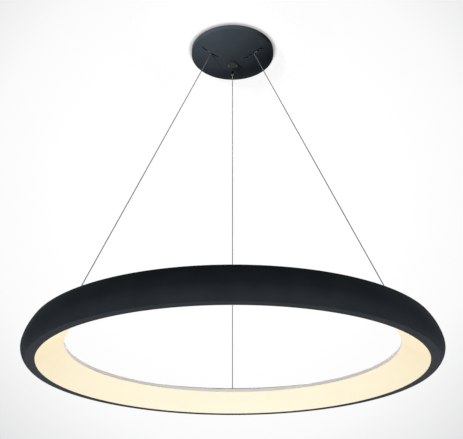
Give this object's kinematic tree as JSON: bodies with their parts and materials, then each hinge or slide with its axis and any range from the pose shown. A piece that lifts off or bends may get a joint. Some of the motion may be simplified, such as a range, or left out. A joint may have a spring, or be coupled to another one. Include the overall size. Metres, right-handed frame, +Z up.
{
  "type": "ring pendant light",
  "caption": "Luminous ring pendant: dark ring with a sloped glowing inner face, hung by thin wires from a shallow domed ceiling canopy.",
  "frame": {"origin": "centre of the canopy on the ceiling plane, midway between the two ceiling screw slots", "axes": "+Z up into the ceiling, +Y towards the wire that is farthest from the viewer, +X to the viewer's right"},
  "size_m": [0.61, 0.61, 0.58],
  "materials": {
    "dark_paint": "matte",
    "dark_hardware": "satin",
    "light_trim": "satin",
    "opal": "satin",
    "wire_steel": "satin",
    "zinc_steel": "satin",
    "nickel_brass": "satin",
    "crimp_copper": "satin",
    "white_carrier": "matte",
    "led_board": "matte",
    "led_phosphor": "gloss",
    "insulator": "matte",
    "driver_case": "matte",
    "terminal_plastic": "satin",
    "entry_rubber": "matte",
    "brown_lead": "satin",
    "blue_lead": "satin",
    "green_lead": "satin",
    "red_lead": "satin",
    "black_lead": "satin"
  },
  "bodies": {
    "canopy": {"ceiling_bracket": "zinc_steel", "hex_spacer": "zinc_steel", "centre_stud": "zinc_steel", "gripper_body_far": "nickel_brass", "gripper_body_left": "nickel_brass", "gripper_body_right": "nickel_brass", "gripper_nut_far": "nickel_brass", "gripper_nut_left": "nickel_brass", "gripper_nut_right": "nickel_brass", "wire_stop_far": "crimp_copper", "wire_stop_left": "crimp_copper", "wire_stop_right": "crimp_copper", "suspension_wire_far": "wire_steel", "suspension_wire_left": "wire_steel", "suspension_wire_right": "wire_steel", "led_driver": "driver_case", "driver_screws": "zinc_steel", "terminal_block": "terminal_plastic", "terminal_screw": "zinc_steel", "entry_bush": "entry_rubber", "earth_screw": "zinc_steel", "mains_lead_live": "brown_lead", "mains_lead_neutral": "blue_lead", "earth_lead": "green_lead", "output_lead_left": "red_lead", "output_lead_right": "black_lead"},
    "cover": {"canopy_cover": "dark_paint", "cap_washer": "dark_hardware"},
    "nut": {"cap_nut": "dark_hardware"},
    "ring": {"ring_shell": "dark_paint", "ring_roof": "dark_paint", "roof_screws": "dark_hardware", "diffuser": "opal", "inner_trim_ring": "light_trim", "led_carrier": "white_carrier", "lead_grommets": "insulator", "led_strip": "led_board", "led_chips": "led_phosphor", "anchor_bush_far": "insulator", "anchor_bush_left": "insulator", "anchor_bush_right": "insulator", "wire_ferrule_far": "crimp_copper", "wire_ferrule_left": "crimp_copper", "wire_ferrule_right": "crimp_copper", "feed_lead_left": "red_lead", "feed_lead_right": "black_lead"},
    "plunger_far": {"gripper_plunger_far": "nickel_brass"},
    "plunger_left": {"gripper_plunger_left": "nickel_brass"},
    "plunger_right": {"gripper_plunger_right": "nickel_brass"}
  },
  "joints": [
    {"name": "height_adjust", "type": "slide", "parent": "canopy", "child": "ring", "axis": [0, 0, 1], "range_m": [0, 0.15], "deforming": ["suspension_wire_far", "suspension_wire_left", "suspension_wire_right"]},
    {"name": "cover_slide", "type": "slide", "parent": "canopy", "child": "cover", "axis": [0, 0, 1], "range_m": [-0.02, 0]},
    {"name": "cap_nut_turn", "type": "hinge", "parent": "cover", "child": "nut", "pos_m": [0, 0, -0.0295], "axis": [0, 0, 1], "continuous": true},
    {"name": "release_far", "type": "slide", "parent": "canopy", "child": "plunger_far", "axis": [0, -0.3861, 0.9225], "range_m": [0, 0.002], "stiffness_N_per_m": 800, "springref_m": -0.001},
    {"name": "release_left", "type": "slide", "parent": "canopy", "child": "plunger_left", "axis": [0.3343, 0.193, 0.9225], "range_m": [0, 0.002], "stiffness_N_per_m": 800, "springref_m": -0.001},
    {"name": "release_right", "type": "slide", "parent": "canopy", "child": "plunger_right", "axis": [-0.3343, 0.193, 0.9225], "range_m": [0, 0.002], "stiffness_N_per_m": 800, "springref_m": -0.001}
  ]
}
